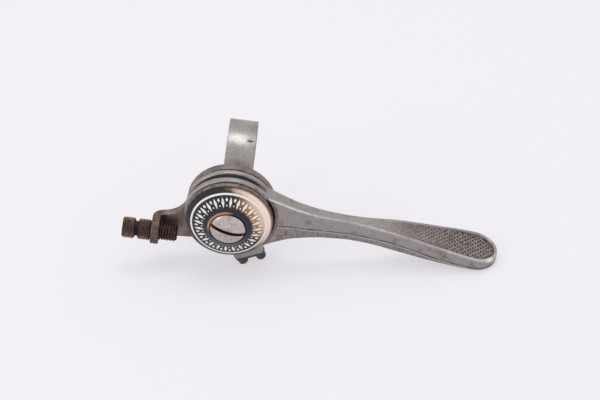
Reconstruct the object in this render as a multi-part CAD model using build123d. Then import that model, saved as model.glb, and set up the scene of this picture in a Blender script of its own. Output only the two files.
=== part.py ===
from build123d import *
import math
import os

# A clamp-on gear lever for a bicycle. A sprung steel band grips the bar, a pressed base
# plate is riveted to it by a hollow-threaded post, and a cast lever with a cable drum
# turns on that post between friction washers under a domed cap and one slotted screw.
# Frame: millimetres, +X along the bar and towards the lever's tip, +Z up, and the lever's
# pivot axis runs along -Y. The origin is where the pivot axis crosses the bar's axis.
# "Reach" below is a distance from the bar's axis, measured forwards along -Y.

# ---- bar and clamp band ----
bar_radius = 12.5
band_thickness = 0.7
band_width = 8.15
band_shift = 0.6
ear_angle = -90.0
ear_gap = 1.8
ear_length = 7.2
pinch_screw_radius = 1.95
pinch_hole_clearance = 0.10
pinch_thread_clearance = 0.05
pinch_head_radius = 3.1
pinch_head_height = 2.2
pinch_washer_radius = 3.4
pinch_washer_thickness = 0.6
pinch_nut_width = 6.4
pinch_nut_thickness = 2.6
pinch_tail_length = 1.2

# ---- stack along the pivot, from the bar outwards ----
saddle_thinnest = 2.6
saddle_height = 11.0
sheet_thickness = 2.3
rear_washer_thickness = 0.45
rear_flange_width = 1.73
groove_width = 1.8
front_flange_width = 1.9
front_washer_thickness = 0.2
friction_plate_thickness = 1.45
spring_washer_height = 0.8
spring_washer_thickness = 0.45
spring_washer_radius = 8.2
thrust_washer_thickness = 0.65
thrust_washer_radius = 7.2
face_gap = 0.02

# ---- base plate, its arm and the bent tab ----
base_radius = 12.4
arm_fillet = 7.4
arm_root_angle = 190.0
arm_belly = (-10.2, -13.7)
tab_half_width = 3.7
tab_bend_radius = 2.2

# ---- pivot post ----
post_tail_radius = 3.0
journal_radius = 4.5
post_flats = 7.0
post_clearance = 0.1
screw_radius = 2.5
thread_clearance = 0.05
running_clearance = 0.05
press_clearance = 0.01

# ---- lever ----
drum_radius = 12.65
rear_flange_radius = 12.55
cable_radius = 0.8
bush_wall = 1.1
lever_length = 75.6
tip_radius = 6.5
hub_top_angle = 36.0
hub_bottom_angle = -45.0
root_half_width = 2.7
neck_half_width = 2.3
waist_half_width = 1.95
waist_at = 32.0
neck_at = 19.5
neck_top = 4.5
neck_bottom = -5.4
paddle_run = 21.0
paddle_top = 1.65
paddle_bottom = -4.2
paddle_half_width = 3.25
shoulder_half_width = 5.75
tip_top = -1.45
tip_bottom = -5.5
waist_top = 2.6
waist_bottom = -3.85

# ---- lever stop ----
stop_pin_radius = 1.0
stop_circle_radius = 7.6
stop_pin_angle = 150.0
stop_pin_height = 1.9
stop_slot_depth = 2.2
lever_down = 20.0
lever_up = 100.0
stop_clearance = 0.12

# ---- cable clamp on the drum ----
anchor_angle = -63.0
lug_radius = 15.3
lug_flat_cut = 0.5
clamp_screw_spacing = 5.4
clamp_screw_radius = 0.9
clamp_screw_clearance = 0.03
clamp_head_radius = 1.45
clamp_head_height = 2.0
clamp_head_rounding = 0.8
clamp_screw_depth = 1.6
clamp_screw_shortening = 0.2
clamp_bar_thickness = 0.9
clamp_bar_width = 2.9
clamp_bar_overhang = 1.5
clamp_bar_rounding = 0.7

# ---- cap and pivot screw ----
friction_plate_radius = 12.3
friction_plate_edge = 0.25
cap_radius = 11.95
cap_wall = 0.8
cap_rise = 3.8
cap_rim_height = 0.15
cap_bulge = 0.35
cap_mouth_radius = 5.15
cap_hole_clearance = 0.25
head_radius = 4.85
head_edge_height = 1.6
head_dome = 1.7
screw_slot_width = 1.1
screw_slot_depth = 1.7
screw_slot_angle = -12.0
screw_length = 8.6
screw_end_clearance = 0.6

# ---- cable adjuster ----
adjuster_drop = 10.4
tab_near = 19.25
thread_radius = 2.45
thread_beyond_tab = 5.1
locknut_radius = 3.0
locknut_length = 3.6
neck_radius = 2.15
neck_length = 0.9
adjuster_head_radius = 3.1
adjuster_head_length = 3.5
adjuster_edge = 0.35
thread_relief = 0.6
locknut_gap = 0.05
housing_radius = 2.35
housing_depth = 2.6
cable_hole_radius = 1.1

# ---- positions worked out from the sizes above ----
band_outer = bar_radius + band_thickness
base_back = band_outer + saddle_thinnest
base_front = base_back + sheet_thickness
drum_back = base_front + rear_washer_thickness + face_gap
groove_back = drum_back + rear_flange_width
groove_front = groove_back + groove_width
drum_front = groove_front + front_flange_width
groove_floor_radius = adjuster_drop - cable_radius
adjuster_reach = (groove_back + groove_front) / 2
plate_back = drum_front + face_gap + front_washer_thickness
plate_front = plate_back + friction_plate_thickness
spring_front = plate_front + spring_washer_height
cup_back = spring_front + thrust_washer_thickness
cup_floor = cup_back + cap_wall
drum_middle = (drum_back + drum_front) / 2
bush_radius = journal_radius + running_clearance + bush_wall
post_top = cup_back - post_clearance
tab_far = tab_near + sheet_thickness

front = Plane.XZ
profile = Plane(origin=(0, 0, 0), x_dir=(1, 0, 0), z_dir=(0, 0, -1))
pivot_axis = Axis((0, 0, 0), (0, -1, 0))


def slab(outline, near, far):
    """An outline in X and Z, made solid between two reaches."""
    return extrude(front.offset(near) * outline, amount=far - near)


def disc(radius, near, far):
    """A round slab on the pivot axis."""
    return slab(Circle(radius), near, far)


def ring(outer, inner, near, far):
    """A flat washer on the pivot axis."""
    return slab(Circle(outer) - Circle(inner), near, far)


def turned(*points):
    """A solid of revolution about the pivot from (radius, reach) corners."""
    return revolve(profile * make_face(Polyline(*points, close=True)), axis=pivot_axis)


def on_circle(radius, angle):
    """The X and Z of a point at an angle round the pivot axis."""
    turn = math.radians(angle)
    return radius * math.cos(turn), radius * math.sin(turn)


def along_bar(radius, start, end, reach=0.0, height=0.0):
    """A round bar parallel to X."""
    place = Plane(origin=(start, -reach, height), x_dir=(0, 1, 0), z_dir=(1, 0, 0))
    return extrude(place * Circle(radius), amount=end - start)


# ---- clamp band: one strip bent round the bar, its two ends turned out as ears ----
ear_tip = band_outer + ear_length
ear_seat = bar_radius + band_thickness / 2
pinch_reach = ear_tip - pinch_head_radius - 0.3
ear_turn = Rot(ear_angle, 0, 0)


def band_section():
    """The band's outline across the bar, with the ears along +Y."""
    strip = Circle(band_outer) - Circle(bar_radius)
    strip -= Pos(band_outer, 0) * Rectangle(2 * band_thickness + 4, ear_gap)
    ear_middle = (ear_seat + ear_tip) / 2
    for side in (-1, 1):
        height = side * (ear_gap + band_thickness) / 2
        strip += Pos(ear_middle, height) * Rectangle(ear_tip - ear_seat, band_thickness)
    return strip


def across_ears(radius, low, high):
    """A round bar through the ears, before they are turned to their angle."""
    return Pos(band_shift, pinch_reach, (low + high) / 2) * Cylinder(radius, high - low)


band_plane = Plane(origin=(band_shift - band_width / 2, 0, 0), x_dir=(0, 1, 0), z_dir=(1, 0, 0))
ear_outside = ear_gap / 2 + band_thickness
clamp_band = extrude(band_plane * band_section(), amount=band_width)
clamp_band -= across_ears(pinch_screw_radius + pinch_hole_clearance, -ear_outside, ear_outside)
clamp_band = ear_turn * clamp_band
clamp_band -= disc(post_tail_radius + press_clearance, bar_radius - 1, band_outer + 1)

head_seat = ear_outside + pinch_washer_thickness
pinch_washer = across_ears(pinch_washer_radius, ear_outside, head_seat)
pinch_washer -= across_ears(pinch_screw_radius + pinch_hole_clearance, ear_outside, head_seat)
pinch_washer = ear_turn * pinch_washer

nut_low = -ear_outside - pinch_nut_thickness
pinch_screw = across_ears(pinch_screw_radius, nut_low - pinch_tail_length, head_seat)
pinch_screw += across_ears(pinch_head_radius, head_seat, head_seat + pinch_head_height)
pinch_screw -= Pos(band_shift, pinch_reach, head_seat + pinch_head_height) * Box(
    2 * pinch_head_radius + 1, 1.0, 2.0
)
pinch_screw = ear_turn * pinch_screw

pinch_nut = Pos(band_shift, pinch_reach, nut_low + pinch_nut_thickness / 2) * Box(
    pinch_nut_width, pinch_nut_width, pinch_nut_thickness
)
pinch_nut -= across_ears(pinch_screw_radius + pinch_thread_clearance, nut_low, -ear_outside)
pinch_nut = ear_turn * pinch_nut

# ---- clamp saddle: a shoe between the round band and the flat base plate ----
clamp_saddle = Pos(band_shift, -(bar_radius + base_back) / 2, 0) * Box(
    band_width, base_back - bar_radius, saddle_height
)
clamp_saddle -= along_bar(band_outer, -band_width, band_width + 1)
clamp_saddle -= disc(post_tail_radius + press_clearance, bar_radius - 1, base_back + 1)

# ---- base plate: a disc with an arm, and a tab bent forwards to carry the adjuster ----
arm_top = -adjuster_drop + tab_half_width
arm_bottom = -adjuster_drop - tab_half_width
root_x, root_z = on_circle(base_radius, arm_root_angle)
belly_x, belly_z = arm_belly
fillet_x = root_x - arm_fillet
foot_x, foot_z = on_circle(base_radius, -84)
arm_outline = make_face(
    Polyline((fillet_x, arm_top), (-tab_far, arm_top), (-tab_far, arm_bottom), (belly_x, belly_z))
    + Polyline((belly_x, belly_z), (foot_x, foot_z), (0, 0), (root_x, arm_top + arm_fillet))
    + CenterArc((fillet_x, arm_top + arm_fillet), arm_fillet, 270, 90)
)
base_plate = slab(Circle(base_radius) + arm_outline, base_back, base_front)
tab = along_bar(tab_half_width, -tab_far, -tab_near, adjuster_reach, -adjuster_drop)
tab += Pos(-(tab_near + tab_far) / 2, -(base_back + adjuster_reach) / 2, -adjuster_drop) * Box(
    sheet_thickness, adjuster_reach - base_back, 2 * tab_half_width
)
base_plate += tab
bend_edge = base_plate.edges().filter_by(Axis.Z).sort_by(
    lambda edge: abs(edge.center().X + tab_far) + abs(edge.center().Y + base_back)
)[0]
base_plate = fillet(bend_edge, tab_bend_radius)
base_plate -= along_bar(
    thread_radius + thread_clearance, -tab_far - 1, -tab_near + 1, adjuster_reach, -adjuster_drop
)
base_plate -= disc(post_tail_radius + press_clearance, base_back - 1, base_front + 1)
pin_x, pin_z = on_circle(stop_circle_radius, stop_pin_angle)
base_plate -= slab(
    Pos(pin_x, pin_z) * Circle(stop_pin_radius + press_clearance), base_back - 1, base_front + 1
)

# ---- pivot post: riveted tail, round journal, two flats for the keyed plate ----
keyed_section = Circle(journal_radius) & Rectangle(2 * journal_radius, post_flats)
pivot_post = disc(post_tail_radius, bar_radius - 1, base_front)
pivot_post += disc(journal_radius, base_front, plate_back)
pivot_post += slab(keyed_section, plate_back, post_top)
pivot_post -= along_bar(bar_radius, -journal_radius - 1, journal_radius + 1)
pivot_post -= disc(screw_radius + thread_clearance, post_top - screw_length, post_top + 1)

# ---- stop pin in the base plate ----
stop_pin = slab(
    Pos(pin_x, pin_z) * Circle(stop_pin_radius), base_back, drum_back + stop_pin_height
)

# ---- rear friction washer ----
rear_friction_washer = ring(
    base_radius - 0.5, journal_radius + running_clearance, base_front, drum_back - face_gap
)
rear_friction_washer -= slab(
    Pos(pin_x, pin_z) * Circle(stop_pin_radius + running_clearance), base_front, drum_back
)

# ---- lever: cable drum, arm and thumb paddle in one casting ----
bush_seat = bush_radius + press_clearance
drum = disc(drum_radius, drum_back, drum_front)
drum -= ring(drum_radius + 1, groove_floor_radius, groove_back, groove_front)
drum -= ring(drum_radius + 1, rear_flange_radius, drum_back, groove_back)

arm_start = 8.0
tip_centre = lever_length - tip_radius
tip_middle = (tip_top + tip_bottom) / 2
side_outline = make_face(
    Spline(
        on_circle(drum_radius, hub_top_angle),
        (neck_at, neck_top),
        (waist_at, waist_top),
        (tip_centre - paddle_run, paddle_top),
        (tip_centre, tip_top),
        tangents=[(1, -0.6), (1, -0.17)],
    )
    + Line((tip_centre, tip_top), (lever_length, tip_top - 1.0))
    + Line((lever_length, tip_top - 1.0), (lever_length, tip_bottom))
    + Line((lever_length, tip_bottom), (tip_centre, tip_bottom))
    + Spline(
        (tip_centre, tip_bottom),
        (tip_centre - paddle_run, paddle_bottom),
        (waist_at, waist_bottom),
        (neck_at, neck_bottom),
        on_circle(drum_radius, hub_bottom_angle),
        tangents=[(-1, 0.02), (-1, -0.45)],
    )
    + Polyline(
        on_circle(drum_radius, hub_bottom_angle),
        (arm_start - 2, 0),
        on_circle(drum_radius, hub_top_angle),
    )
)
plan_outline = make_face(
    Spline(
        (arm_start, root_half_width),
        (arm_start + 6, neck_half_width),
        (waist_at, waist_half_width),
        (tip_centre - paddle_run - 3, paddle_half_width),
        (tip_centre - 8, shoulder_half_width),
        (tip_centre, tip_radius),
        tangents=[(1, 0), (1, 0)],
    )
    + ThreePointArc((tip_centre, tip_radius), (lever_length, 0), (tip_centre, -tip_radius))
    + Spline(
        (tip_centre, -tip_radius),
        (tip_centre - 8, -shoulder_half_width),
        (tip_centre - paddle_run - 3, -paddle_half_width),
        (waist_at, -waist_half_width),
        (arm_start + 6, -neck_half_width),
        (arm_start, -root_half_width),
        tangents=[(-1, 0), (-1, 0)],
    )
    + Line((arm_start, -root_half_width), (arm_start, root_half_width))
)
arm_block = slab(side_outline, drum_back - 6, drum_front + 6)
arm_plan = Pos(0, -drum_middle, -20) * extrude(Plane.XY * plan_outline, amount=40)
lever_arm = arm_block & arm_plan

lug_x, lug_z = on_circle((groove_floor_radius + lug_radius) / 2, anchor_angle)
lug_outline = Pos(lug_x, lug_z) * Rot(0, 0, anchor_angle) * Rectangle(
    lug_radius - groove_floor_radius + 3, clamp_screw_spacing + 2 * clamp_bar_overhang
)
lug_outline = lug_outline & Circle(lug_radius)

lever = drum + lever_arm
lever += slab(lug_outline, groove_back, drum_front)
lever -= disc(bush_seat, drum_back - 1, drum_front + 1)
slot_start = stop_pin_angle - lever_up
slot_end = stop_pin_angle + lever_down
slot_half = stop_pin_radius + stop_clearance
slot_arc = CenterArc((0, 0), stop_circle_radius, slot_start, slot_end - slot_start)
stop_slot = SlotArc(slot_arc, 2 * slot_half)
lever -= slab(stop_slot, drum_back - 1, drum_back + stop_slot_depth)

# ---- bush in the drum ----
pivot_bush = ring(
    bush_radius, journal_radius + running_clearance, drum_back + face_gap, drum_front - face_gap
)

# ---- cable clamp: a bar under two small screws on the drum's lug ----
screw_reach = (groove_back + drum_front) / 2


def anchor_plane(radius, across):
    """A plane at the anchor, square to the drum's radius."""
    turn = math.radians(anchor_angle)
    out = Vector(math.cos(turn), 0, math.sin(turn))
    side = Vector(-math.sin(turn), 0, math.cos(turn))
    return Plane(origin=out * radius + side * across + Vector(0, -screw_reach, 0), x_dir=side, z_dir=out)


screw_holes = Part()
for across in (-clamp_screw_spacing / 2, clamp_screw_spacing / 2):
    hole = anchor_plane(groove_floor_radius + clamp_screw_depth, across) * Circle(
        clamp_screw_radius + clamp_screw_clearance
    )
    screw_holes += extrude(hole, amount=lug_radius)
lug_flat = anchor_plane(lug_radius - lug_flat_cut, 0) * Rectangle(2 * lug_radius, lug_radius)
lever -= extrude(lug_flat, amount=lug_radius)
lever -= screw_holes

bar_length = clamp_screw_spacing + 2 * clamp_bar_overhang
bar_sketch = Rectangle(bar_length, clamp_bar_width)
clamp_seat = lug_radius - lug_flat_cut
cable_clamp_bar = extrude(anchor_plane(clamp_seat, 0) * bar_sketch, amount=clamp_bar_thickness)
cable_clamp_bar = fillet(cable_clamp_bar.edges().filter_by(
    lambda edge: abs(edge.length - clamp_bar_thickness) < 0.01), clamp_bar_rounding)
cable_clamp_bar -= screw_holes

shank_foot = groove_floor_radius + clamp_screw_depth + clamp_screw_shortening
cable_clamp_screws = []
for across in (-clamp_screw_spacing / 2, clamp_screw_spacing / 2):
    shank = extrude(
        anchor_plane(shank_foot, across) * Circle(clamp_screw_radius),
        amount=clamp_seat + clamp_bar_thickness - shank_foot,
    )
    head = extrude(
        anchor_plane(clamp_seat + clamp_bar_thickness, across) * Circle(clamp_head_radius),
        amount=clamp_head_height,
    )
    outer_edge = head.edges().filter_by(GeomType.CIRCLE).sort_by(
        lambda edge: -edge.arc_center.length)[0]
    head = fillet(outer_edge, clamp_head_rounding)
    cable_clamp_screws.append(shank + head)

# ---- front friction washer, keyed friction plate, spring washer, thrust washer ----
front_friction_washer = ring(
    groove_floor_radius, journal_radius + running_clearance, drum_front + face_gap, plate_back
)
key_hole = Circle(journal_radius + running_clearance) & Rectangle(
    3 * journal_radius, post_flats + 2 * running_clearance
)
friction_plate = slab(Circle(friction_plate_radius) - key_hole, plate_back, plate_front)
friction_plate = fillet(
    friction_plate.edges().filter_by(GeomType.CIRCLE).sort_by(
        lambda edge: -edge.radius)[0:2], friction_plate_edge)
spring_inner = journal_radius + 0.15
spring_washer = turned(
    (spring_inner, plate_front + spring_washer_thickness),
    (spring_washer_radius, plate_front),
    (spring_washer_radius, plate_front + spring_washer_thickness),
    (spring_inner, spring_front),
)
thrust_washer = ring(thrust_washer_radius, spring_inner, spring_front, cup_back)

# ---- cap: a domed shell with a cup in its middle for the screw's head ----
cap_crown = plate_front + cap_rise
cup_outer = cap_mouth_radius + cap_wall


def cap_shell(radius, rise, bulge):
    """The dome's solid, from the friction plate to its mouth."""
    mouth = (cap_mouth_radius, plate_front + rise)
    rim = (radius, plate_front + cap_rim_height)
    middle_r = (radius + cap_mouth_radius) / 2 + bulge / 2
    middle_y = plate_front + (rise + cap_rim_height) / 2 + bulge
    outline = (
        Polyline((0, plate_front), (radius, plate_front), rim)
        + ThreePointArc(rim, (middle_r, middle_y), mouth)
        + Polyline(mouth, (0, plate_front + rise), (0, plate_front))
    )
    return revolve(profile * make_face(outline), axis=pivot_axis)


cap = cap_shell(cap_radius, cap_rise, cap_bulge)
hollow = cap_shell(cap_radius - cap_wall * 1.25, cap_rise - cap_wall, cap_bulge)
hollow -= disc(cup_outer, cup_back, cap_crown)
cap -= hollow
cap -= disc(cap_mouth_radius, cup_floor, cap_crown + 1)
cap -= disc(screw_radius + cap_hole_clearance, cup_back - 1, cup_floor + 1)

# ---- pivot screw: wide domed head with a slot for a coin ----
head_seat_reach = cup_floor + face_gap
head_edge = head_seat_reach + head_edge_height
head_outline = (
    Polyline((0, head_seat_reach), (head_radius, head_seat_reach), (head_radius, head_edge))
    + ThreePointArc(
        (head_radius, head_edge),
        (head_radius * 0.55, head_edge + head_dome * 0.72),
        (0, head_edge + head_dome),
    )
    + Line((0, head_edge + head_dome), (0, head_seat_reach))
)
pivot_screw = revolve(profile * make_face(head_outline), axis=pivot_axis)
pivot_screw += disc(screw_radius, post_top - screw_length + screw_end_clearance, head_seat_reach)
slot_floor = head_edge + head_dome - screw_slot_depth
slot_cut = Rot(0, 0, screw_slot_angle) * Rectangle(4 * head_radius, screw_slot_width)
pivot_screw -= slab(slot_cut, slot_floor, head_edge + head_dome + 1)

# ---- cable adjuster: hollow threaded barrel with a knurled head, and its locknut ----
nut_near = tab_far + locknut_gap
nut_far = nut_near + locknut_length
head_near = nut_far + neck_length
head_far = head_near + adjuster_head_length


def adjuster_bar(radius, near, far):
    """A round bar on the adjuster's axis, between two distances to the left."""
    return along_bar(radius, -far, -near, adjuster_reach, -adjuster_drop)


adjuster_barrel = adjuster_bar(thread_radius, tab_near - thread_beyond_tab, nut_far - thread_relief)
adjuster_barrel += adjuster_bar(neck_radius, nut_far - thread_relief, head_near)
adjuster_barrel += adjuster_bar(adjuster_head_radius, head_near, head_far)
rim_edges = adjuster_barrel.edges().filter_by(GeomType.CIRCLE).filter_by(
    lambda edge: abs(edge.radius - adjuster_head_radius) < 0.01)
adjuster_barrel = chamfer(rim_edges, adjuster_edge)
adjuster_barrel -= adjuster_bar(cable_hole_radius, tab_near - thread_beyond_tab - 1, head_far + 1)
adjuster_barrel -= adjuster_bar(housing_radius, head_far - housing_depth, head_far + 1)

adjuster_locknut = adjuster_bar(locknut_radius, nut_near, nut_far)
adjuster_locknut = chamfer(adjuster_locknut.edges().filter_by(GeomType.CIRCLE), adjuster_edge)
adjuster_locknut -= adjuster_bar(thread_radius + thread_clearance, tab_far - 1, nut_far + 1)

nodes = {
    "clamp_band": clamp_band,
    "pinch_screw": pinch_screw,
    "pinch_washer": pinch_washer,
    "pinch_nut": pinch_nut,
    "clamp_saddle": clamp_saddle,
    "base_plate": base_plate,
    "pivot_post": pivot_post,
    "stop_pin": stop_pin,
    "rear_friction_washer": rear_friction_washer,
    "lever": lever,
    "pivot_bush": pivot_bush,
    "cable_clamp_bar": cable_clamp_bar,
    "cable_clamp_screws": Compound(children=cable_clamp_screws),
    "front_friction_washer": front_friction_washer,
    "friction_plate": friction_plate,
    "spring_washer": spring_washer,
    "thrust_washer": thrust_washer,
    "cap": cap,
    "pivot_screw": pivot_screw,
    "adjuster_barrel": adjuster_barrel,
    "adjuster_locknut": adjuster_locknut,
}

os.makedirs("parts", exist_ok=True)
for name, shape in nodes.items():
    export_step(shape, f"parts/{name}.step")
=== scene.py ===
import math
import bmesh
import bpy
from mathutils import Matrix, Vector


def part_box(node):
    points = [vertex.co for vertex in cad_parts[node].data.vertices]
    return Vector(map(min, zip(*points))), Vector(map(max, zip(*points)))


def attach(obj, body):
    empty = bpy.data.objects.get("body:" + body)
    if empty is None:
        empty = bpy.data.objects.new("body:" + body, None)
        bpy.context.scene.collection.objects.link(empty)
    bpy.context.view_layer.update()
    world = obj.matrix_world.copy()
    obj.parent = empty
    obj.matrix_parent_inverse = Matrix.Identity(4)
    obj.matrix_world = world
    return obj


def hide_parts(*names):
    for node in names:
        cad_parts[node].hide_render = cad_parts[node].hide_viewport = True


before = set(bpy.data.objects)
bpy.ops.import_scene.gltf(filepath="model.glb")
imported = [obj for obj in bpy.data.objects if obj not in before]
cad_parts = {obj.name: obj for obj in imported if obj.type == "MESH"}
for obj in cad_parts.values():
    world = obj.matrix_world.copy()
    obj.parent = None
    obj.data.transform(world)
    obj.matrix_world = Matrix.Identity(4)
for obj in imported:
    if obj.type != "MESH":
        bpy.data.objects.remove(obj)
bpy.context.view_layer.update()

# ======================================================================================
# Stage: an opal acrylic table, lit from below, that carries the shifter on the lever's tip,
# the cable clamp's screws and the pinch ears. One soft lamp hangs overhead, a cool one stands
# at the front left, and a small warm one low at the right, where the domed cap mirrors it.
# ======================================================================================
MM = 0.001


def mm(x, y, z):
    """A point given in millimetres, in metres."""
    return Vector((x * MM, y * MM, z * MM))


def linear(hex_colour):
    """An sRGB hex colour as opaque linear numbers."""
    parts = [int(hex_colour[i:i + 2], 16) / 255 for i in (1, 3, 5)]
    return [p / 12.92 if p <= 0.04045 else ((p + 0.055) / 1.055) ** 2.4 for p in parts] + [1.0]


def node(tree, kind, inputs=None, **settings):
    """Adds a node, sets it up, and links or fills its inputs by name or place."""
    made = tree.nodes.new(kind)
    for key, value in settings.items():
        setattr(made, key, value)
    for key, value in (inputs or {}).items():
        if isinstance(value, bpy.types.NodeSocket):
            tree.links.new(value, made.inputs[key])
        else:
            made.inputs[key].default_value = value
    return made


scene = bpy.context.scene
azimuth, elevation, lean = math.radians(-1.15), math.radians(38.0), math.radians(7.81)
toward_camera = Vector((
    math.sin(azimuth) * math.cos(elevation),
    -math.cos(azimuth) * math.cos(elevation),
    math.sin(elevation),
))
level_right = Vector((0, 0, 1)).cross(toward_camera).normalized()
level_up = toward_camera.cross(level_right)
camera_right = level_right * math.cos(lean) + level_up * math.sin(lean)
camera_up = level_up * math.cos(lean) - level_right * math.sin(lean)
camera_aim, camera_far = mm(19.265, 0, -9.727), 0.6
camera_data = bpy.data.cameras.new("camera")
camera_data.sensor_width = 36.0
camera_data.lens = 124.2
camera_data.clip_start = 0.01
camera = bpy.data.objects.new("camera", camera_data)
scene.collection.objects.link(camera)
turn = Matrix((camera_right, camera_up, toward_camera)).transposed().to_4x4()
camera.matrix_world = Matrix.Translation(camera_aim + toward_camera * camera_far) @ turn
scene.camera = camera

screws_low, screws_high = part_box("cable_clamp_screws")
tip_rest = Vector((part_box("lever")[1].x - 0.006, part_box("lever")[0].y, -0.00553))
screw_rest = Vector((screws_low.x + 0.0016, (screws_low.y + screws_high.y) / 2, screws_low.z))
ear_rest = Vector((0.0008, 0.0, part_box("clamp_band")[0].z - 0.00005))
table_normal = (tip_rest - ear_rest).cross(screw_rest - ear_rest).normalized()
if table_normal.z < 0:
    table_normal = -table_normal

TABLE_HALF = 1.6
table_mesh = bpy.data.meshes.new("table")
table_edit = bmesh.new()
across = table_normal.cross(Vector((0, 1, 0))).normalized()
along = table_normal.cross(across)
corners = [table_edit.verts.new(ear_rest + (across * a + along * b) * TABLE_HALF)
           for a, b in ((-1, -1), (1, -1), (1, 1), (-1, 1))]
table_edit.faces.new(corners)
table_edit.to_mesh(table_mesh)
table_edit.free()
table = bpy.data.objects.new("table", table_mesh)
scene.collection.objects.link(table)
table_finish = bpy.data.materials.new("opal acrylic, lit from below")
table_finish.use_nodes = True
opal = table_finish.node_tree.nodes["Principled BSDF"]
opal.inputs["Base Color"].default_value = linear("#9a989b")
opal.inputs["Emission Color"].default_value = linear("#f1eff3")
opal.inputs["Emission Strength"].default_value = 0.585
opal.inputs["Roughness"].default_value = 0.85
opal.inputs["Specular IOR Level"].default_value = 0.15
table_mesh.materials.append(table_finish)


def soft_box(name, place, aim, width, height, watts, colour):
    """A rectangular lamp that faces a point."""
    data = bpy.data.lights.new(name, "AREA")
    data.shape = "RECTANGLE"
    data.size = width
    data.size_y = height
    data.energy = watts
    data.color = linear(colour)[:3]
    lamp = bpy.data.objects.new(name, data)
    scene.collection.objects.link(lamp)
    lamp.matrix_world = Matrix.Translation(place) @ (aim - place).to_track_quat("-Z",
                                                                                "Y").to_matrix().to_4x4()
    return lamp


hub = Vector((0, -0.02, 0))
soft_box("overhead", Vector((-0.08, 0.22, 0.75)), hub, 0.42, 0.36, 1.45, "#fffdfb")
soft_box("left_fill", hub + Vector((-0.766, -0.497, 0.402)) * 0.8, hub, 0.3, 0.3, 1.1, "#f3f6ff")
warm_lamp = soft_box("warm_card", hub + Vector((0.74, -0.55, -0.10)) * 0.55, hub, 0.2, 0.2, 0.25, "#ffc49a")
warm_lamp.visible_diffuse = False

world = bpy.data.worlds.new("studio")
world.use_nodes = True
world.node_tree.nodes["Background"].inputs["Color"].default_value = linear("#f4f3f6")
world.node_tree.nodes["Background"].inputs["Strength"].default_value = 1.0
scene.world = world
scene.view_settings.view_transform = "Standard"

# ======================================================================================
# Clamp band: a strip of sprung steel, bent round the bar, with both ends turned down as
# ears. Zinc plated and satin, it shows a fine grain and dull patches.
# ======================================================================================
band_low, band_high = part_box("clamp_band")
band_middle = (band_low.x + band_high.x) / 2 / MM
band_half = (band_high.x - band_low.x) / 2 / MM
BAND_THICK = 0.7
BAR = band_high.z / MM - BAND_THICK - 0.01
EAR_GAP = 0.9
EAR_BEND = 0.9
EAR_END = -band_low.z / MM


def finish(name, edit, material, body, slot, *replaced, smooth=40.0):
    """Makes a mesh object of a bmesh in metres, gives it its finish, and mounts it."""
    bmesh.ops.remove_doubles(edit, verts=edit.verts, dist=1e-6)
    bmesh.ops.recalc_face_normals(edit, faces=edit.faces)
    mesh = bpy.data.meshes.new(name)
    edit.to_mesh(mesh)
    edit.free()
    piece = bpy.data.objects.new(name, mesh)
    scene.collection.objects.link(piece)
    mesh.materials.append(material)
    mesh.shade_smooth()
    mesh.set_sharp_from_angle(angle=math.radians(smooth))
    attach(piece, body)
    if replaced:
        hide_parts(*replaced)
    return piece


def metal(name, bare, soiled, patch_mm, roughness, metallic=1.0, grain_mm=0.25, grain=0.05, soil=0.5):
    """A worn metal: two tones in patches, fine grain, and a roughness that follows them."""
    made = bpy.data.materials.new(name)
    made.use_nodes = True
    tree = made.node_tree
    shader = tree.nodes["Principled BSDF"]
    place = node(tree, "ShaderNodeTexCoord").outputs["Object"]
    patches = node(tree, "ShaderNodeTexNoise", {
        "Vector": place, "Scale": 1000 / patch_mm, "Detail": 6.0, "Roughness": 0.62})
    spread = node(tree, "ShaderNodeMapRange", {
        "Value": patches.outputs["Fac"], "From Min": 0.62 - soil * 0.35, "From Max": 0.72})
    tone = node(tree, "ShaderNodeMix", {
        "Factor": spread.outputs["Result"], 6: linear(bare), 7: linear(soiled)}, data_type="RGBA")
    fine = node(tree, "ShaderNodeTexNoise", {
        "Vector": place, "Scale": 1000 / grain_mm, "Detail": 3.0, "Roughness": 0.6})
    speckle = node(tree, "ShaderNodeMapRange", {
        "Value": fine.outputs["Fac"], "From Min": 0.3, "From Max": 0.7, "To Min": 0.86, "To Max": 1.12})
    toned = node(tree, "ShaderNodeVectorMath", {
        0: tone.outputs[2], 1: speckle.outputs["Result"]}, operation="MULTIPLY")
    rough = node(tree, "ShaderNodeMapRange", {
        "Value": spread.outputs["Result"], "To Min": roughness, "To Max": min(1.0, roughness + 0.22)})
    bump = node(tree, "ShaderNodeBump", {
        "Height": fine.outputs["Fac"], "Strength": 0.6, "Distance": grain * MM})
    tree.links.new(toned.outputs["Vector"], shader.inputs["Base Color"])
    tree.links.new(rough.outputs["Result"], shader.inputs["Roughness"])
    tree.links.new(bump.outputs["Normal"], shader.inputs["Normal"])
    shader.inputs["Metallic"].default_value = metallic
    return made


def band_route():
    """The strip's middle line as (Y, Z, outward Y, outward Z), from one ear's tip to the other's."""
    middle = BAR + BAND_THICK / 2
    line = EAR_GAP + BAND_THICK / 2
    centre_y = line + EAR_BEND
    centre_z = -math.sqrt((middle + EAR_BEND) ** 2 - centre_y ** 2)
    meet = math.atan2(-centre_z, centre_y)
    route = [(line, -EAR_END + 0.02, 1.0, 0.0), (line, centre_z, 1.0, 0.0)]
    for i in range(1, 9):
        swing = math.pi - i / 8 * (math.pi / 2 + (math.pi / 2 - meet))
        route.append((centre_y + EAR_BEND * math.cos(swing), centre_z + EAR_BEND * math.sin(swing),
                      -math.cos(swing), -math.sin(swing)))
    half = []
    steps = 48
    for i in range(1, steps + 1):
        swing = -meet + (meet + math.pi / 2) * i / steps
        half.append((middle * math.cos(swing), middle * math.sin(swing), math.cos(swing), math.sin(swing)))
    route += half
    return route + [(-y, z, -oy, oz) for y, z, oy, oz in reversed(route[:-1])]


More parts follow.
